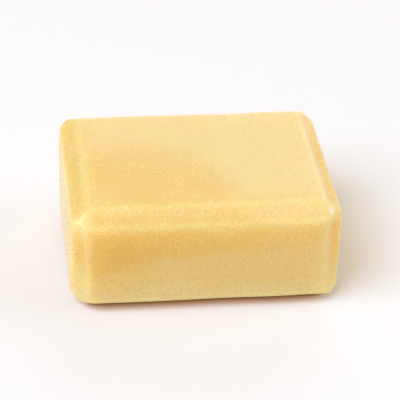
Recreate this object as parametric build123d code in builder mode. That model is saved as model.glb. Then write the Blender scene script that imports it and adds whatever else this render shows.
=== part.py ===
# A detailing clay bar: one block of kneadable clay, moulded with bevels on every edge.
# Frame: origin at the centre of the underside, +X along the length, +Y across the
# width, +Z up. Millimetres.

from build123d import *
import os

# Overall size of the block
bar_length = 74.0
bar_width = 57.5
bar_height = 31.0

# Bevel round the top face and round the underside
rim_bevel_inset = 4.6
rim_bevel_drop = 3.3

# Bevel down each of the four upright edges, measured along both sides
upright_bevel = 4.3

# Rounding of every ridge, where the soft clay leaves the mould
ridge_radius = 1.2


def bevel_rim(block, rim_face):
    """Bevel the four edges of one flat face of the block."""
    chamfer(
        rim_face.edges(),
        length=rim_bevel_inset,
        length2=rim_bevel_drop,
        reference=rim_face,
    )


with BuildPart() as clay_bar:
    # The plain block
    with BuildSketch(Plane.XY):
        Rectangle(bar_length, bar_width)
    extrude(amount=bar_height)

    # Top and bottom bevels, mitred at the corners
    bevel_rim(clay_bar, clay_bar.faces().sort_by(Axis.Z)[-1])
    bevel_rim(clay_bar, clay_bar.faces().sort_by(Axis.Z)[0])

    # Upright bevels: keep only what lies inside the outline with its corners cut off
    with BuildSketch(Plane.XY) as outline:
        Rectangle(bar_length, bar_width)
        chamfer(outline.vertices(), length=upright_bevel)
    extrude(amount=bar_height, mode=Mode.INTERSECT)

    # Soft ridges all over
    fillet(clay_bar.edges(), radius=ridge_radius)

clay_bar.part.label = "clay_bar"

os.makedirs("parts", exist_ok=True)
export_step(clay_bar.part, "parts/clay_bar.step")
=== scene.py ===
from math import radians

import bmesh
import bpy
from bpy.props import FloatProperty, FloatVectorProperty, PointerProperty
from mathutils import Matrix, Vector, noise
from mathutils.geometry import intersect_point_line


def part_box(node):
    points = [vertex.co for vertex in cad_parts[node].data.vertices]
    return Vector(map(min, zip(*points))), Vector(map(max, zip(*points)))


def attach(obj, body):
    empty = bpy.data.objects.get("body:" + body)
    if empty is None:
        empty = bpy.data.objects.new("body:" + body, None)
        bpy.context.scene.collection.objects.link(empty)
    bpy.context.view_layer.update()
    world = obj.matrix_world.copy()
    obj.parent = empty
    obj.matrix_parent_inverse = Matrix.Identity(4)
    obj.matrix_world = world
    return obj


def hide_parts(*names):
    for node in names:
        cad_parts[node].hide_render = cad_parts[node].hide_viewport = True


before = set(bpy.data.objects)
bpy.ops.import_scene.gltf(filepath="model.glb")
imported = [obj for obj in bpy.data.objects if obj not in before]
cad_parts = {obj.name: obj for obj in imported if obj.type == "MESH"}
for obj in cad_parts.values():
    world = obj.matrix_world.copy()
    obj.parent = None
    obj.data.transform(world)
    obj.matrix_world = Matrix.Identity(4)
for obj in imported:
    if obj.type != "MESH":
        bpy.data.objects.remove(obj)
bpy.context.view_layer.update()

bl_info = {
    "name": "Clay Bar",
    "version": (1, 0, 0),
    "blender": (4, 5, 0),
    "location": "View3D > Sidebar > Clay Bar",
    "description": "Builds a moulded bar of detailing clay and a soft studio round it",
    "category": "Object",
}

# The whole object's box, and the bar's own box, as the CAD model gives them.
BAR_LOW, BAR_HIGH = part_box("clay_bar")
BAR_SIZE = BAR_HIGH - BAR_LOW
BAR_MIDDLE = (BAR_LOW + BAR_HIGH) / 2
MM = 0.001


def mm(x, y, z):
    """A step or a size given in millimetres."""
    return Vector((x, y, z)) * MM


# ---------------------------------------------------------------- places on the bar

# The step from the origin, under the middle of the bar, to each of its sides. A place on the bar
# is one or more of these steps and a few millimetres.
TOP = Vector((0, 0, BAR_HIGH.z))
FRONT = Vector((0, BAR_LOW.y, 0))
BACK = Vector((0, BAR_HIGH.y, 0))
LEFT = Vector((BAR_LOW.x, 0, 0))
RIGHT = Vector((BAR_HIGH.x, 0, 0))

# Clouds of other tones on the bar, each laid over the ones before it: the name of its colour, middle, half
# lengths, turn about Z and strength. Several of them are painted light and shade, as marked below.
CLOUDS = (
    # Painted light: a paler lower part all round, standing in for light bounced up from the table.
    ("pale", mm(4, 0, 0), mm(90, 90, 10), 0.0, 1.0),
    # Deeper amber patches on the top, at its left middle, front middle and back.
    ("amber", TOP + mm(-14, -8, 0), mm(24, 18, 9), radians(-25), 0.75),
    ("amber", TOP + mm(4, -18, 0), mm(8, 5, 5), 0.0, 0.3),
    ("amber", TOP + BACK + mm(-6, -1.75, 0), mm(36, 8, 6), 0.0, 0.55),
    # Deeper amber under the front's top ridge, partly uneven tone and partly painted shade of the front's
    # upper part.
    ("amber", FRONT + mm(-26, -0.25, 19.5), mm(14, 9, 9), 0.0, 0.95),
    ("amber", FRONT + mm(-10, -2.25, 22.5), mm(27, 5, 5.5), 0.0, 0.72),
    ("amber", FRONT + mm(20, -2.25, 23.5), mm(22, 5, 5), 0.0, 0.25),
    # Painted shade: deep amber over the right end, the side turned away from the key lamp.
    ("deep", RIGHT + mm(1, -4, 21), mm(8, 38, 14), 0.0, 1.0),
    # Paler patches along the top front ridge, the front's right upright ridge and the top's left ridge,
    # partly rubbed clay and partly painted highlight.
    ("ridge", TOP + FRONT + mm(4, 3.25, -0.5), mm(60, 3, 3), 0.0, 0.3),
    ("ridge", TOP + FRONT + mm(28, 2.25, -1.5), mm(16, 5, 4), 0.0, 0.65),
    ("ridge", FRONT + mm(31, -0.25, 14), mm(3, 4, 18), 0.0, 0.25),
    ("ridge", TOP + mm(-31, -2, 0), mm(2.5, 14, 3), 0.0, 0.2),
    # Painted reflection: a pale sheen over the left end face, which is seen at a grazing angle.
    ("ridge", LEFT + mm(-1, 0, 14), mm(2.2, 34, 16), 0.0, 0.8),
    # Painted shade: redder clay round the underside, standing in for light that reaches it only through the
    # clay.
    ("sole", mm(0, 0, -1), mm(90, 90, 3.9), 0.0, 1.0),
)
# The right end's top ridge, on the side turned away from the key lamp, is made less pale than the others,
# so that it takes less painted highlight: middle, half lengths and how much less.
LESS_PALE_RIDGE = (TOP + RIGHT + mm(-4, 0, 0), mm(5, 32, 5), 0.55)
# Pale streaks on two mitres: both ends, half width and strength. The first is a chip of fresh pale clay
# that also carries a painted highlight along the right front mitre; the second is a painted highlight down
# the left front mitre.
STREAKS = (
    (TOP + RIGHT + FRONT + mm(-3.6, 3.65, -0.8), TOP + RIGHT + FRONT + mm(-3.4, 1.75, -2.7), 0.8 * MM, 0.7),
    (TOP + LEFT + FRONT + mm(4, 3.95, -0.4), TOP + LEFT + FRONT + mm(1.8, 1.75, -2.6), 0.6 * MM, 0.25),
)
# Side along X, Y and Z of each corner, and how many times it is rubbed.
CORNER_WEAR = (
    (-1, -1, 1, 6), (1, -1, 1, 3), (-1, 1, 1, 1), (1, 1, 1, 5),
    (-1, -1, -1, 20), (1, -1, -1, 3), (-1, 1, -1, 2), (1, 1, -1, 6),
)

# ---------------------------------------------------------------- fixed values of the shape

CUT_TOLERANCE = 0.001 * MM
# A face points along an axis if this much of its normal lies along it.
FACING = 0.9
# How much of a cell the outermost cuts stay away from a ridge.
CLEAR_OF_RIDGE = 0.4
# An edge of a bevel that is longer than this many cells is cut again, if its faces lie in one plane.
LONG_EDGE = 1.9
IN_PLANE = 0.01
BEVEL_CUTS = 3
# Faces that meet at more than this angle meet in a ridge, which is rounded in a few steps.
RIDGE_ANGLE = radians(10)
RIDGE_STEPS = 4
# The clay is made fully pale, partly rubbed and partly painted highlight, within the first distance of a
# ridge, and not at all past the second.
RIDGE_CORE = 0.3 * MM
RIDGE_REACH = 2.0 * MM
# The same for a corner, where the second is also how far its shape is rubbed.
CORNER_CORE = 0.5 * MM
CORNER_REACH = 4.5 * MM
# How far from its ridges a flat face goes on rising, and how far down the front its shoulder ends.
SWELL_REACH = 5.5 * MM
SHOULDER_END = 3 * SWELL_REACH
# A surface swells fully if 1 minus the cosine of its lean is under the first value, and not at all
# past the second. One that faces down by more than the third doesn't swell.
LITTLE_LEAN = 0.001
FULL_LEAN = 0.03
FACING_DOWN = 0.5
# Lengths of the waves, the ripples on them and the wandering of the ridges, the share of the
# ripples, and shifts to other parts of the noise, so that the three don't run in step.
WAVE_LENGTH = 16 * MM
RIPPLE_LENGTH = 5 * MM
RIPPLE_SHARE = 0.4
RIPPLE_SHIFT = Vector((7, 3, 1))
WANDER_LENGTH = 22 * MM
WANDER_SHIFT = Vector((2, 5, 9))
WANDER_SEED = 1
# Height over which handling fades in, because the underside stays flat on the table.
FLAT_FOOT = 2 * MM
# Size of the chip's ragged detail, and where it is deepest and where it ends, in half widths.
CHIP_DETAIL = 0.8 * MM
CHIP_CORE = 0.5
CHIP_REACH = 2.0

# ---------------------------------------------------------------- fixed values of the finish

# Every scale is in features per metre.
NOISE_DETAIL = 3.0
CLOUD_SCALE = 60.0
GRAIN_SCALE = 3700.0
PATCH_SCALE = 180.0
SPECK_SCALE = 350.0
SPECK_SIZE = 0.05
STREAK_SCALE = 900.0
STREAK_RAGGEDNESS = 1.6
# A cloud begins at the first share of its half lengths, and is full within the second.
CLOUD_BEGINS = 1.15
CLOUD_FULL = 0.55
# Grain above the first value is clear, and below the second it has all of the grain's tint.
GRAIN_CLEAR = 0.60
GRAIN_TINTED = 0.40
# How pale a ridge is made, partly rubbed and partly painted highlight, and how much more a corner is.
RIDGE_RUB_AND_HIGHLIGHT = 0.9
CORNER_RUB_AND_HIGHLIGHT = 0.2

# ---------------------------------------------------------------- fixed values of the studio

LAMP_DISTANCE = 1.5
LAMP_SIZE = 1.3
# Each lamp's name, azimuth from the front of the bar, elevation, and the settings of its power and
# colour.
LAMPS = (
    ("key_lamp", radians(-58), radians(51), "key_power", "lamp_colour"),
    ("back_lamp", radians(160), radians(20), "back_power", "lamp_colour"),
    ("fill_lamp", radians(90), radians(30), "fill_power", "fill_colour"),
)
FLOOR_RADIUS = 0.8
FLOOR_SIDES = 96
SENSOR_WIDTH = 36.0


# ---------------------------------------------------------------- settings


class BarShapeSettings(bpy.types.PropertyGroup):
    """Sizes of the moulded bar."""

    rim_inset: FloatProperty(
        name="Rim Bevel Inset",
        description="How far the bevel round each flat face reaches in over that face",
        default=4.6 * MM, min=1.0 * MM, max=8.0 * MM, subtype="DISTANCE", unit="LENGTH",
    )
    rim_drop: FloatProperty(
        name="Rim Bevel Drop",
        description="How far the bevel round each flat face reaches down the sides",
        default=3.3 * MM, min=1.0 * MM, max=8.0 * MM, subtype="DISTANCE", unit="LENGTH",
    )
    foot_drop: FloatProperty(
        name="Foot Bevel Drop",
        description="How far the bevel round the underside reaches up the sides",
        default=3.4 * MM, min=1.0 * MM, max=8.0 * MM, subtype="DISTANCE", unit="LENGTH",
    )
    upright_bevel: FloatProperty(
        name="Upright Bevel",
        description="Leg of the bevel down each upright edge",
        default=4.3 * MM, min=1.0 * MM, max=8.0 * MM, subtype="DISTANCE", unit="LENGTH",
    )
    upright_lean: FloatProperty(
        name="Upright Lean",
        description="How far the upright bevels lean along the bar, because the mould is worn",
        default=radians(2.0), min=0.0, max=radians(5.0), subtype="ANGLE", unit="ROTATION",
    )
    ridge_width: FloatProperty(
        name="Ridge Width",
        description="Width of the soft rounding on each ridge, to each side of it",
        default=1.2 * MM, min=0.1 * MM, max=1.5 * MM, subtype="DISTANCE", unit="LENGTH",
    )
    cell: FloatProperty(
        name="Cell",
        description="Size of the mesh cells on the flat faces",
        default=1.2 * MM, min=1.0 * MM, max=5.0 * MM, subtype="DISTANCE", unit="LENGTH",
    )
    unevenness: FloatProperty(
        name="Unevenness",
        description="Height of the slow waves that handling leaves in the soft clay",
        default=0.10 * MM, min=0.0, max=0.5 * MM, subtype="DISTANCE", unit="LENGTH",
    )
    wander: FloatProperty(
        name="Wander",
        description="How far the ridges wander from straight lines",
        default=0.15 * MM, min=0.0, max=1.0 * MM, subtype="DISTANCE", unit="LENGTH",
    )
    swell: FloatProperty(
        name="Swell",
        description="How far each flat face swells out between its ridges",
        default=0.38 * MM, min=0.0, max=1.0 * MM, subtype="DISTANCE", unit="LENGTH",
    )
    shoulder: FloatProperty(
        name="Shoulder",
        description="How far the front swells out further, just under its top ridge",
        default=0.8 * MM, min=0.0, max=1.5 * MM, subtype="DISTANCE", unit="LENGTH",
    )
    chip_depth: FloatProperty(
        name="Chip Depth",
        description="Depth of the small chip knocked out of one top corner",
        default=0.3 * MM, min=0.0, max=1.5 * MM, subtype="DISTANCE", unit="LENGTH",
    )


class ClayFinishSettings(bpy.types.PropertyGroup):
    """Colours and surface of the clay, with painted light and shade among the colours."""

    clay: FloatVectorProperty(
        name="Clay",
        description="Main colour of the clay",
        default=(0.856, 0.666, 0.246), min=0.0, max=1.0, size=3, subtype="COLOR",
    )
    # Deeper amber patches on the top and under the front's top ridge; those under the ridge are partly
    # painted shade.
    amber: FloatVectorProperty(
        name="Amber",
        description="Deeper colour of the resin-rich clouds",
        default=(0.831, 0.574, 0.133), min=0.0, max=1.0, size=3, subtype="COLOR",
    )
    # Painted shade: the deep amber of the right end, the side turned away from the key lamp.
    deep: FloatVectorProperty(
        name="Deep Amber",
        description="Deepest colour, at the right end of the bar",
        default=(0.897, 0.605, 0.103), min=0.0, max=1.0, size=3, subtype="COLOR",
    )
    # Painted shade: the redder colour round the underside stands in for light that reaches it only through
    # the clay.
    sole: FloatVectorProperty(
        name="Sole",
        description="Redder colour round the underside, where light only arrives through the clay",
        default=(0.955, 0.435, 0.133), min=0.0, max=1.0, size=3, subtype="COLOR",
    )
    # Painted light: a paler lower part all round, standing in for light bounced up from the table.
    pale: FloatVectorProperty(
        name="Pale",
        description="Paler colour of the clay that settled at the bottom of the mould",
        default=(0.887, 0.696, 0.328), min=0.0, max=1.0, size=3, subtype="COLOR",
    )
    # Paler ridges, partly rubbed clay and partly painted highlight; also the painted sheen on the left end
    # face.
    ridge: FloatVectorProperty(
        name="Ridge",
        description="Paler colour of the rubbed ridges",
        default=(0.942, 0.773, 0.39), min=0.0, max=1.0, size=3, subtype="COLOR",
    )
    # Also the colour of the painted highlights on the two front mitres.
    fresh: FloatVectorProperty(
        name="Fresh Break",
        description="Pale colour of a fresh chip and of the specks of filler",
        default=(0.963, 0.889, 0.698), min=0.0, max=1.0, size=3, subtype="COLOR",
    )
    grain: FloatVectorProperty(
        name="Grain",
        description="Tint that the dark side of the grain takes",
        default=(0.865, 0.82, 0.73), min=0.0, max=1.0, size=3, subtype="COLOR",
    )
    roughness: FloatProperty(
        name="Roughness", description="Roughness of the clay between its grains",
        default=0.22, min=0.0, max=1.0, subtype="FACTOR",
    )
    grain_roughness: FloatProperty(
        name="Grain Roughness", description="How much rougher the clay is on its grains",
        default=0.12, min=0.0, max=1.0, subtype="FACTOR",
    )
    relief_strength: FloatProperty(
        name="Relief Strength", description="How strongly the grain stands out under the light",
        default=0.4, min=0.0, max=1.0, subtype="FACTOR",
    )
    relief_depth: FloatProperty(
        name="Relief Depth", description="Height of the grain",
        default=0.06 * MM, min=0.0, max=1.0 * MM, subtype="DISTANCE", unit="LENGTH",
    )
    scatter: FloatVectorProperty(
        name="Scatter", description="How far red, green and blue light spread in the clay",
        default=(1.1, 0.6, 0.16), min=0.0, max=2.0, size=3,
    )
    scatter_length: FloatProperty(
        name="Scatter Length", description="The distance that a scatter of 1 stands for",
        default=11 * MM, min=0.0, max=50 * MM, subtype="DISTANCE", unit="LENGTH",
    )
    ior: FloatProperty(
        name="IOR", description="Index of refraction of the clay's surface", default=1.47, min=1.0,
    )


class StudioSettings(bpy.types.PropertyGroup):
    """Floor, lights and camera."""

    floor_colour: FloatVectorProperty(
        name="Floor",
        description="Colour of the table top",
        default=(0.88, 0.865, 0.855), min=0.0, max=1.0, size=3, subtype="COLOR",
    )
    room_seen: FloatVectorProperty(
        name="Room Seen",
        description="Colour of the room where the camera sees it",
        default=(0.97, 0.95, 0.94), min=0.0, max=1.0, size=3, subtype="COLOR",
    )
    room_light: FloatProperty(
        name="Room Light", description="Brightness of the light that the room throws on the bar",
        default=0.50, min=0.0,
    )
    room_colour: FloatVectorProperty(
        name="Room Colour",
        description="Colour of the light that the room throws back into the shadows",
        default=(1.0, 0.74, 0.38), min=0.0, max=1.0, size=3, subtype="COLOR",
    )
    key_power: FloatProperty(
        name="Key Lamp",
        description="Power of the large soft lamp at the front left",
        default=23.5, min=0.0, subtype="POWER", unit="POWER",
    )
    back_power: FloatProperty(
        name="Back Lamp",
        description="Power of the low soft lamp behind the bar",
        default=8.0, min=0.0, subtype="POWER", unit="POWER",
    )
    fill_power: FloatProperty(
        name="Fill Lamp",
        description="Power of the soft lamp at the right",
        default=8.3, min=0.0, subtype="POWER", unit="POWER",
    )
    lamp_colour: FloatVectorProperty(
        name="Lamp Colour",
        description="Colour of the key and back lamps, a little cooler than the room",
        default=(0.66, 0.78, 1.0), min=0.0, max=1.0, size=3, subtype="COLOR",
    )
    fill_colour: FloatVectorProperty(
        name="Fill Colour",
        description="Colour of the fill lamp, cooler again, like the light of a window",
        default=(0.62, 0.80, 1.0), min=0.0, max=1.0, size=3, subtype="COLOR",
    )
    camera_azimuth: FloatProperty(
        name="Camera Azimuth",
        description="Direction of the camera, turned from the front of the bar",
        default=radians(-8.23), subtype="ANGLE", unit="ROTATION",
    )
    camera_elevation: FloatProperty(
        name="Camera Elevation",
        description="Height of the camera above the table, as an angle",
        default=radians(32.88), subtype="ANGLE", unit="ROTATION",
    )
    camera_roll: FloatProperty(
        name="Camera Roll",
        description="Tilt of the camera about its own line of sight",
        default=radians(2.35), subtype="ANGLE", unit="ROTATION",
    )
    camera_distance: FloatProperty(
        name="Camera Distance",
        description="From the camera to the point that it looks at",
        default=0.547, min=0.05, subtype="DISTANCE", unit="LENGTH",
    )
    camera_aim: FloatVectorProperty(
        name="Camera Aim",
        description="The point that the camera looks at, from the middle of the bar",
        default=mm(1.29, 0, 1.58), size=3, subtype="TRANSLATION", unit="LENGTH",
    )
    lens: FloatProperty(
        name="Lens", description="Focal length in millimetres", default=173.9, min=10.0,
    )


# ---------------------------------------------------------------- the block


def everything(bm):
    """All of a mesh, as bisect_plane wants it."""
    return bm.verts[:] + bm.edges[:] + bm.faces[:]


def cut_block(bm, shape):
    """A plain block with a mitred bevel round each flat face and a bevel down each upright."""
    upright_height = BAR_SIZE.z - shape.rim_drop - shape.foot_drop
    bmesh.ops.create_cube(bm, size=1.0)
    bmesh.ops.scale(bm, vec=(BAR_SIZE.x, BAR_SIZE.y, upright_height), verts=bm.verts)
    bmesh.ops.translate(bm, vec=(0, 0, (shape.foot_drop - shape.rim_drop) / 2), verts=bm.verts)
    for side, drop in ((1, shape.rim_drop), (-1, shape.foot_drop)):
        flat = [f for f in bm.faces if f.normal.z * side > FACING]
        bmesh.ops.inset_individual(
            bm, faces=flat, thickness=shape.rim_inset, depth=drop, use_even_offset=True
        )
    for side_x in (-1, 1):
        for side_y in (-1, 1):
            cut_upright(bm, shape, side_x, side_y)
    bmesh.ops.translate(bm, vec=BAR_MIDDLE, verts=bm.verts)


def cut_upright(bm, shape, side_x, side_y):
    """Bevels one upright edge of a block that is centred on the origin."""
    inset = shape.upright_bevel / 2
    on_plane = Vector((side_x * (BAR_SIZE.x / 2 - inset), side_y * (BAR_SIZE.y / 2 - inset), 0))
    out = Vector((side_x, side_y, side_x * shape.upright_lean))
    cut = bmesh.ops.bisect_plane(
        bm, geom=everything(bm), dist=CUT_TOLERANCE, plane_co=on_plane, plane_no=out, clear_outer=True
    )
    rim = [e for e in cut["geom_cut"] if isinstance(e, bmesh.types.BMEdge)]
    bmesh.ops.edgeloop_fill(bm, edges=rim)


def slice_evenly(bm, axis, first, last, cell):
    """Parallel cuts across the block, about one cell apart, so that its flats have a grid."""
    count = max(1, round((last - first) / cell))
    for i in range(count + 1):
        place = axis * (first + (last - first) * i / count)
        bmesh.ops.bisect_plane(
            bm, geom=everything(bm), dist=CUT_TOLERANCE, plane_co=place, plane_no=axis
        )


def grid_the_flats(bm, shape):
    """Slices the block along all three axes, staying clear of its ridges."""
    margin = Vector((shape.rim_inset, shape.rim_inset, shape.rim_drop))
    for i, axis in enumerate((Vector((1, 0, 0)), Vector((0, 1, 0)), Vector((0, 0, 1)))):
        clear = margin[i] + shape.ridge_width + CLEAR_OF_RIDGE * shape.cell
        slice_evenly(bm, axis, BAR_LOW[i] + clear, BAR_HIGH[i] - clear, shape.cell)


def split_bevels(bm, shape):
    """Adds lengthwise loops to the bevels, whose faces are one cell long but a bevel wide."""
    long = LONG_EDGE * shape.cell
    rungs = [e for e in bm.edges if e.calc_length() > long and e.calc_face_angle(0) < IN_PLANE]
    bmesh.ops.subdivide_edges(bm, edges=rungs, cuts=BEVEL_CUTS, use_grid_fill=True)


def ridge_lines(bm):
    """The two ends of each ridge of the block, while the block still has no other edges."""
    return [(e.verts[0].co.copy(), e.verts[1].co.copy()) for e in bm.edges]


def round_ridges(bm, shape):
    """Rounds every ridge."""
    ridges = [e for e in bm.edges if e.calc_face_angle(0) > RIDGE_ANGLE]
    bmesh.ops.bevel(
        bm, geom=ridges, offset=shape.ridge_width, offset_type="OFFSET", segments=RIDGE_STEPS,
        profile=0.5, affect="EDGES", clamp_overlap=True, material=-1,
    )


def clamp(value):
    """The value, held between 0 and 1."""
    return min(1.0, max(0.0, value))


def closeness(distance, near, far):
    """1 up to near, 0 from far on, and a smooth fall between."""
    t = clamp((far - distance) / (far - near))
    return t * t * (3 - 2 * t)


def rise(distance):
    """How far a flat has risen at this distance from its ridge: quickly at first, then slowly."""
    return 1 - (1 - clamp(distance / SWELL_REACH)) ** 2


def swell_flats(bm, shape):
    """Lets each flat face but the underside swell softly up from its ridges."""
    flat_half = BAR_SIZE / 2 - Vector((shape.upright_bevel, shape.upright_bevel, shape.rim_drop))
    bm.normal_update()
    moves = []
    for v in bm.verts:
        across = max(range(3), key=lambda i: abs(v.normal[i]))
        height = shape.swell * closeness(1 - abs(v.normal[across]), LITTLE_LEAN, FULL_LEAN)
        if v.normal.z < -FACING_DOWN:
            height = 0.0
        for i in range(3):
            if i != across:
                height *= rise(flat_half[i] - abs(v.co[i] - BAR_MIDDLE[i]))
        if v.normal.y < -FACING:
            under = BAR_MIDDLE.z + flat_half.z - v.co.z
            sides = closeness(abs(v.co.x - BAR_MIDDLE.x), flat_half.x - SWELL_REACH, flat_half.x)
            height += shape.shoulder * rise(under) * sides * closeness(under, SWELL_REACH, SHOULDER_END)
        moves.append(v.normal * height)
    for v, move in zip(bm.verts, moves):
        v.co += move


def corner_point(shape, side_x, side_y, side_z):
    """Where the mitre of a rim bevel meets the bevel of an upright."""
    half = BAR_SIZE / 2 - Vector((1, 1, 1)) * shape.upright_bevel / 2
    return BAR_MIDDLE + Vector((side_x * half.x, side_y * half.y, side_z * half.z))


def wear_corners(bm, shape):
    """Rubs the corners rounder than the ridges, some of them more than others."""
    for side_x, side_y, side_z, passes in CORNER_WEAR:
        corner = corner_point(shape, side_x, side_y, side_z)
        near = [v for v in bm.verts if (v.co - corner).length < CORNER_REACH]
        for _ in range(passes):
            bmesh.ops.smooth_vert(
                bm, verts=near, factor=0.5, use_axis_x=True, use_axis_y=True, use_axis_z=True
            )


def gap_to_line(point, start, end):
    """Distance from a point to the straight line between two ends."""
    foot, share = intersect_point_line(point, start, end)
    return (point - (start if share < 0 else end if share > 1 else foot)).length


def knock_chip(bm, shape):
    """A small ragged chip along the first streak."""
    start, end, half_width, _ = STREAKS[0]
    bm.normal_update()
    moves = []
    for v in bm.verts:
        ragged = 1 + noise.noise(v.co / CHIP_DETAIL)
        gap = gap_to_line(v.co, start, end)
        near = closeness(gap, CHIP_CORE * half_width, CHIP_REACH * half_width)
        moves.append(v.normal * near * ragged * shape.chip_depth)
    for v, move in zip(bm.verts, moves):
        v.co -= move


def handle_softly(bm, shape):
    """Slow waves and wandering ridges, as soft clay has. The underside stays flat."""
    noise.seed_set(WANDER_SEED)
    bm.normal_update()
    moves = []
    for v in bm.verts:
        ripple = noise.noise(v.co / RIPPLE_LENGTH + RIPPLE_SHIFT)
        wave = noise.noise(v.co / WAVE_LENGTH) + RIPPLE_SHARE * ripple
        wander = noise.noise_vector(v.co / WANDER_LENGTH + WANDER_SHIFT)
        lifted = min(1.0, (v.co.z - BAR_LOW.z) / FLAT_FOOT)
        moves.append((v.normal * wave * shape.unevenness + wander * shape.wander) * lifted)
    for v, move in zip(bm.verts, moves):
        v.co += move
        v.co.z = max(v.co.z, BAR_LOW.z)


def mark_ridges(bm, lines):
    """Writes how close each vertex is to a ridge and to a corner into two attributes."""
    ridge = bm.verts.layers.float.new("ridge")
    corner = bm.verts.layers.float.new("corner")
    ends = [end for line in lines for end in line]
    for v in bm.verts:
        v[ridge] = closeness(min(gap_to_line(v.co, *line) for line in lines), RIDGE_CORE, RIDGE_REACH)
        v[corner] = closeness(min((v.co - end).length for end in ends), CORNER_CORE, CORNER_REACH)


def make_block(shape):
    """The bar's mesh object."""
    bm = bmesh.new()
    cut_block(bm, shape)
    lines = ridge_lines(bm)
    grid_the_flats(bm, shape)
    split_bevels(bm, shape)
    round_ridges(bm, shape)
    mark_ridges(bm, lines)
    swell_flats(bm, shape)
    wear_corners(bm, shape)
    knock_chip(bm, shape)
    handle_softly(bm, shape)
    bmesh.ops.recalc_face_normals(bm, faces=bm.faces)
    if not all(e.is_manifold for e in bm.edges):
        raise RuntimeError("The bar's mesh is not closed")
    for f in bm.faces:
        f.smooth = True
    mesh = bpy.data.meshes.new("clay_block")
    bm.to_mesh(mesh)
    bm.free()
    block = bpy.data.objects.new("clay_block", mesh)
    bpy.context.scene.collection.objects.link(block)
    subdivision = block.modifiers.new("Soft Surface", "SUBSURF")
    subdivision.levels = 1
    subdivision.render_levels = 1
    return block


# ---------------------------------------------------------------- materials


def new_group(name, inputs, outputs):
    """An empty shader node group with the given sockets, and its two end nodes."""
    group = bpy.data.node_groups.new(name, "ShaderNodeTree")
    for label, kind, value in inputs:
        socket = group.interface.new_socket(name=label, in_out="INPUT", socket_type=kind)
        if value is not None:
            socket.default_value = value
    for label, kind in outputs:
        group.interface.new_socket(name=label, in_out="OUTPUT", socket_type=kind)
    return group, group.nodes.new("NodeGroupInput"), group.nodes.new("NodeGroupOutput")


def math(tree, operation, *values):
    """One Math node. Its values are sockets or numbers."""
    node = tree.nodes.new("ShaderNodeMath")
    node.operation = operation
    for socket, value in zip(node.inputs, values):
        if isinstance(value, bpy.types.NodeSocket):
            tree.links.new(value, socket)
        else:
            socket.default_value = value
    return node.outputs[0]


def noise_texture(tree, vector, scale, roughness=0.6):
    """A Noise Texture on the given coordinates. scale is a socket or a number."""
    node = tree.nodes.new("ShaderNodeTexNoise")
    tree.links.new(vector, node.inputs["Vector"])
    if isinstance(scale, bpy.types.NodeSocket):
        tree.links.new(scale, node.inputs["Scale"])
    else:
        node.inputs["Scale"].default_value = scale
    node.inputs["Detail"].default_value = NOISE_DETAIL
    node.inputs["Roughness"].default_value = roughness
    return node.outputs["Fac"]


def smooth_step(tree, value, low, high):
    """Goes softly from 0 at low to 1 at high. It falls where low is the larger."""
    node = tree.nodes.new("ShaderNodeMapRange")
    node.interpolation_type = "SMOOTHSTEP"
    for label, part in (("Value", value), ("From Min", low), ("From Max", high)):
        if isinstance(part, bpy.types.NodeSocket):
            tree.links.new(part, node.inputs[label])
        else:
            node.inputs[label].default_value = part
    return node.outputs["Result"]


def cloud_group():
    """A soft cloud of another tone, as a mask, for tone in the clay and for painted light and shade. Noise
    breaks up its border.
    """
    group, source, result = new_group(
        "Clay Cloud",
        [
            ("Vector", "NodeSocketVector", None),
            ("Place", "NodeSocketVector", None),
            ("Half Size", "NodeSocketVector", None),
            ("Turn", "NodeSocketVector", None),
            ("Noise Scale", "NodeSocketFloat", CLOUD_SCALE),
            ("Raggedness", "NodeSocketFloat", 1.0),
            ("Strength", "NodeSocketFloat", 1.0),
        ],
        [("Mask", "NodeSocketFloat")],
    )
    centred = group.nodes.new("ShaderNodeMapping")
    centred.vector_type = "TEXTURE"
    for label, socket in (("Place", "Location"), ("Turn", "Rotation"), ("Half Size", "Scale")):
        group.links.new(source.outputs[label], centred.inputs[socket])
    group.links.new(source.outputs["Vector"], centred.inputs["Vector"])
    depth = group.nodes.new("ShaderNodeVectorMath")
    depth.operation = "LENGTH"
    group.links.new(centred.outputs["Vector"], depth.inputs[0])
    swirl = noise_texture(group, source.outputs["Vector"], source.outputs["Noise Scale"], roughness=0.55)
    border = math(group, "MULTIPLY", math(group, "SUBTRACT", swirl, 0.5), source.outputs["Raggedness"])
    outwards = math(group, "ADD", depth.outputs["Value"], border)
    inside = smooth_step(group, outwards, CLOUD_BEGINS, CLOUD_FULL)
    group.links.new(math(group, "MULTIPLY", inside, source.outputs["Strength"]), result.inputs["Mask"])
    return group


def grain_group():
    """Fine grain, as a value about 0.5."""
    group, source, result = new_group(
        "Fine Grain",
        [("Vector", "NodeSocketVector", None), ("Scale", "NodeSocketFloat", GRAIN_SCALE)],
        [("Grain", "NodeSocketFloat")],
    )
    grain = noise_texture(group, source.outputs["Vector"], source.outputs["Scale"])
    group.links.new(grain, result.inputs["Grain"])
    return group


def speck_group():
    """A few tiny pale specks of filler, as a mask."""
    group, source, result = new_group(
        "Filler Specks",
        [
            ("Vector", "NodeSocketVector", None),
            ("Scale", "NodeSocketFloat", SPECK_SCALE),
            ("Size", "NodeSocketFloat", SPECK_SIZE),
        ],
        [("Mask", "NodeSocketFloat")],
    )
    cells = group.nodes.new("ShaderNodeTexVoronoi")
    group.links.new(source.outputs["Vector"], cells.inputs["Vector"])
    group.links.new(source.outputs["Scale"], cells.inputs["Scale"])
    speck = math(group, "LESS_THAN", cells.outputs["Distance"], source.outputs["Size"])
    group.links.new(speck, result.inputs["Mask"])
    return group


def place_group(tree, group, vector, **values):
    """Places a node group in a material and sets its inputs."""
    node = tree.nodes.new("ShaderNodeGroup")
    node.node_tree = group
    tree.links.new(vector, node.inputs["Vector"])
    for label, value in values.items():
        node.inputs[label.replace("_", " ")].default_value = value
    return node.outputs[0]


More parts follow.
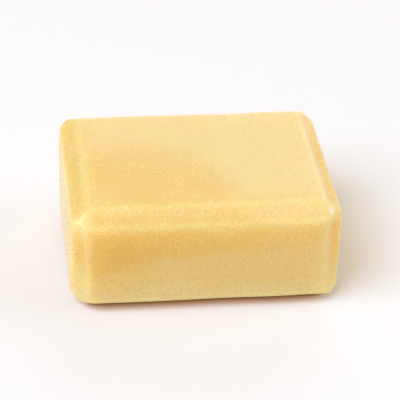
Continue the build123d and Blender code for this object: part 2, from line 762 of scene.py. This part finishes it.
def mix_colour(tree, factor, a, b, blend="MIX"):
    """Mixes two colours. Each is a socket or three numbers."""
    node = tree.nodes.new("ShaderNodeMix")
    node.data_type = "RGBA"
    node.blend_type = blend
    tree.links.new(factor, node.inputs[0])
    for socket, value in ((node.inputs[6], a), (node.inputs[7], b)):
        if isinstance(value, bpy.types.NodeSocket):
            tree.links.new(value, socket)
        else:
            socket.default_value = (*value, 1.0)
    return node.outputs[2]


def attribute(tree, name):
    """A float that the mesh carries on its vertices."""
    node = tree.nodes.new("ShaderNodeAttribute")
    node.attribute_name = name
    return node.outputs["Fac"]


def clouded_colour(tree, finish, place, cloud):
    """The clay's colour with every cloud laid over it, painted light and shade among them."""
    colour = tuple(finish.clay)
    for tone, middle, half_size, turn, strength in CLOUDS:
        mask = place_group(
            tree, cloud, place, Place=middle, Half_Size=half_size, Turn=(0, 0, turn), Strength=strength
        )
        colour = mix_colour(tree, mask, colour, tuple(getattr(finish, tone)))
    return colour


def rub_and_highlight_mask(tree, place, cloud, patchy):
    """Where the ridges are paler, partly rubbed and partly painted highlight: patches along the ridges,
    more at the corners, less on the right end's top ridge.
    """
    strength = math(tree, "MULTIPLY_ADD", attribute(tree, "corner"), CORNER_RUB_AND_HIGHLIGHT, RIDGE_RUB_AND_HIGHLIGHT)
    rubbed_and_highlight = math(tree, "MULTIPLY", math(tree, "MULTIPLY", attribute(tree, "ridge"), strength), patchy)
    middle, half_size, less = LESS_PALE_RIDGE
    less_pale = place_group(tree, cloud, place, Place=middle, Half_Size=half_size, Strength=less)
    return math(tree, "MULTIPLY", rubbed_and_highlight, math(tree, "SUBTRACT", 1.0, less_pale))


def pale_clay_and_highlight_mask(tree, place, cloud):
    """Where pale clay shows: the filler specks and the chip, with the painted highlights of the two mitre
    streaks.
    """
    pale_clay_and_highlight = place_group(tree, speck_group(), place)
    for start, end, half_width, strength in STREAKS:
        along = end - start
        streak = place_group(
            tree, cloud, place, Place=(start + end) / 2,
            Half_Size=(half_width, half_width, along.length / 2 + half_width),
            Turn=along.to_track_quat("Z", "Y").to_euler(), Noise_Scale=STREAK_SCALE,
            Raggedness=STREAK_RAGGEDNESS, Strength=strength,
        )
        pale_clay_and_highlight = math(tree, "MAXIMUM", pale_clay_and_highlight, streak)
    return pale_clay_and_highlight


def clay_material(finish):
    """Waxy, slightly translucent clay with clouds, some of them painted light and shade, pale ridges that
    are partly rubbed and partly painted highlight, a fine grain and a few specks.
    """
    material = bpy.data.materials.new("detailing_clay")
    material.use_nodes = True
    tree = material.node_tree
    shader = tree.nodes["Principled BSDF"]
    place = tree.nodes.new("ShaderNodeTexCoord").outputs["Object"]
    cloud = cloud_group()
    grain = place_group(tree, grain_group(), place)
    patchy = noise_texture(tree, place, PATCH_SCALE)

    coloured = clouded_colour(tree, finish, place, cloud)
    # Paler ridges, partly rubbed clay and partly painted highlight.
    coloured = mix_colour(tree, rub_and_highlight_mask(tree, place, cloud, patchy), coloured, tuple(finish.ridge))
    # Pale specks and chip, and the painted highlights on the mitres.
    pale_clay_and_highlight = pale_clay_and_highlight_mask(tree, place, cloud)
    coloured = mix_colour(tree, pale_clay_and_highlight, coloured, tuple(finish.fresh))
    tinted = smooth_step(tree, grain, GRAIN_CLEAR, GRAIN_TINTED)
    coloured = mix_colour(tree, tinted, coloured, tuple(finish.grain), "MULTIPLY")
    tree.links.new(coloured, shader.inputs["Base Color"])

    rough = math(tree, "MULTIPLY_ADD", grain, finish.grain_roughness, finish.roughness)
    tree.links.new(rough, shader.inputs["Roughness"])
    bump = tree.nodes.new("ShaderNodeBump")
    bump.inputs["Strength"].default_value = finish.relief_strength
    bump.inputs["Distance"].default_value = finish.relief_depth
    tree.links.new(math(tree, "ADD", grain, math(tree, "MULTIPLY", pale_clay_and_highlight, patchy)), bump.inputs["Height"])
    tree.links.new(bump.outputs["Normal"], shader.inputs["Normal"])
    shader.inputs["Subsurface Weight"].default_value = 1.0
    shader.inputs["Subsurface Radius"].default_value = finish.scatter
    shader.inputs["Subsurface Scale"].default_value = finish.scatter_length
    shader.inputs["IOR"].default_value = finish.ior
    return material


def floor_material(studio):
    """Plain matte white, as a studio's table top is."""
    material = bpy.data.materials.new("table_top")
    material.use_nodes = True
    shader = material.node_tree.nodes["Principled BSDF"]
    shader.inputs["Base Color"].default_value = (*studio.floor_colour, 1.0)
    shader.inputs["Roughness"].default_value = 0.8
    shader.inputs["Specular IOR Level"].default_value = 0.2
    return material


# ---------------------------------------------------------------- studio


def make_floor(studio):
    """A round pale table top at the height of the bar's underside."""
    bm = bmesh.new()
    bmesh.ops.create_circle(bm, cap_ends=True, segments=FLOOR_SIDES, radius=FLOOR_RADIUS)
    bmesh.ops.translate(bm, vec=(0, 0, BAR_LOW.z), verts=bm.verts)
    mesh = bpy.data.meshes.new("table_top")
    bm.to_mesh(mesh)
    bm.free()
    floor = bpy.data.objects.new("table_top", mesh)
    bpy.context.scene.collection.objects.link(floor)
    mesh.materials.append(floor_material(studio))


def turned(azimuth, elevation, roll=0.0):
    """The turn of a camera or lamp that looks at the bar from that direction."""
    return (
        Matrix.Rotation(azimuth, 4, "Z")
        @ Matrix.Rotation(radians(90) - elevation, 4, "X")
        @ Matrix.Rotation(roll, 4, "Z")
    )


def make_room(studio):
    """A pale room: the camera sees it nearly white, and it lights the bar only a little."""
    world = bpy.data.worlds.new("pale_room")
    bpy.context.scene.world = world
    world.use_nodes = True
    tree = world.node_tree
    lit = tree.nodes["Background"]
    lit.inputs["Color"].default_value = (*studio.room_colour, 1.0)
    lit.inputs["Strength"].default_value = studio.room_light
    seen = tree.nodes.new("ShaderNodeBackground")
    seen.inputs["Color"].default_value = (*studio.room_seen, 1.0)
    mix = tree.nodes.new("ShaderNodeMixShader")
    ray = tree.nodes.new("ShaderNodeLightPath")
    tree.links.new(ray.outputs["Is Camera Ray"], mix.inputs["Fac"])
    tree.links.new(lit.outputs["Background"], mix.inputs[1])
    tree.links.new(seen.outputs["Background"], mix.inputs[2])
    tree.links.new(mix.outputs["Shader"], tree.nodes["World Output"].inputs["Surface"])


def make_lamp(name, azimuth, elevation, power, colour):
    """One large soft lamp that looks at the bar."""
    data = bpy.data.lights.new(name, "AREA")
    data.shape = "DISK"
    data.size = LAMP_SIZE
    data.energy = power
    data.color = colour
    lamp = bpy.data.objects.new(name, data)
    lamp.visible_camera = False
    bpy.context.scene.collection.objects.link(lamp)
    turn = turned(azimuth, elevation)
    lamp.matrix_world = Matrix.Translation(turn @ Vector((0, 0, LAMP_DISTANCE))) @ turn


def make_camera(studio):
    """The camera, a long lens a little above the bar's front."""
    data = bpy.data.cameras.new("camera")
    data.lens = studio.lens
    data.sensor_width = SENSOR_WIDTH
    camera = bpy.data.objects.new("camera", data)
    bpy.context.scene.collection.objects.link(camera)
    turn = turned(studio.camera_azimuth, studio.camera_elevation, studio.camera_roll)
    aim = BAR_MIDDLE + studio.camera_aim
    camera.matrix_world = Matrix.Translation(aim + turn @ Vector((0, 0, studio.camera_distance))) @ turn
    bpy.context.scene.camera = camera


# ---------------------------------------------------------------- operators


class CLAYBAR_OT_make_bar(bpy.types.Operator):
    """Build the moulded bar of clay in the CAD bar's place"""

    bl_idname = "clay_bar.make_bar"
    bl_label = "Make Clay Bar"
    bl_options = {"REGISTER", "UNDO"}

    def execute(self, context):
        block = make_block(context.scene.clay_bar_shape)
        block.data.materials.append(clay_material(context.scene.clay_bar_finish))
        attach(block, "root")
        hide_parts("clay_bar")
        return {"FINISHED"}


class CLAYBAR_OT_make_stage(bpy.types.Operator):
    """Build the table top, the lights and the camera"""

    bl_idname = "clay_bar.make_stage"
    bl_label = "Make Stage"
    bl_options = {"REGISTER", "UNDO"}

    def execute(self, context):
        studio = context.scene.clay_bar_studio
        make_floor(studio)
        make_room(studio)
        for name, azimuth, elevation, power, colour in LAMPS:
            make_lamp(name, azimuth, elevation, getattr(studio, power), getattr(studio, colour))
        make_camera(studio)
        context.scene.view_settings.view_transform = "Standard"
        return {"FINISHED"}


class CLAYBAR_PT_panel(bpy.types.Panel):
    """Settings and buttons for the clay bar"""

    bl_idname = "CLAYBAR_PT_panel"
    bl_label = "Clay Bar"
    bl_space_type = "VIEW_3D"
    bl_region_type = "UI"
    bl_category = "Clay Bar"

    def draw(self, context):
        for settings in ("clay_bar_shape", "clay_bar_finish", "clay_bar_studio"):
            group = getattr(context.scene, settings)
            box = self.layout.box()
            for name in group.__annotations__:
                box.prop(group, name)
        self.layout.operator(CLAYBAR_OT_make_bar.bl_idname)
        self.layout.operator(CLAYBAR_OT_make_stage.bl_idname)


CLASSES = (
    BarShapeSettings,
    ClayFinishSettings,
    StudioSettings,
    CLAYBAR_OT_make_bar,
    CLAYBAR_OT_make_stage,
    CLAYBAR_PT_panel,
)


def register():
    for cls in CLASSES:
        bpy.utils.register_class(cls)
    bpy.types.Scene.clay_bar_shape = PointerProperty(type=BarShapeSettings)
    bpy.types.Scene.clay_bar_finish = PointerProperty(type=ClayFinishSettings)
    bpy.types.Scene.clay_bar_studio = PointerProperty(type=StudioSettings)


def unregister():
    del bpy.types.Scene.clay_bar_studio
    del bpy.types.Scene.clay_bar_finish
    del bpy.types.Scene.clay_bar_shape
    for cls in reversed(CLASSES):
        bpy.utils.unregister_class(cls)


def main():
    register()
    bpy.ops.clay_bar.make_bar()
    bpy.ops.clay_bar.make_stage()


if __name__ == "__main__":
    main()
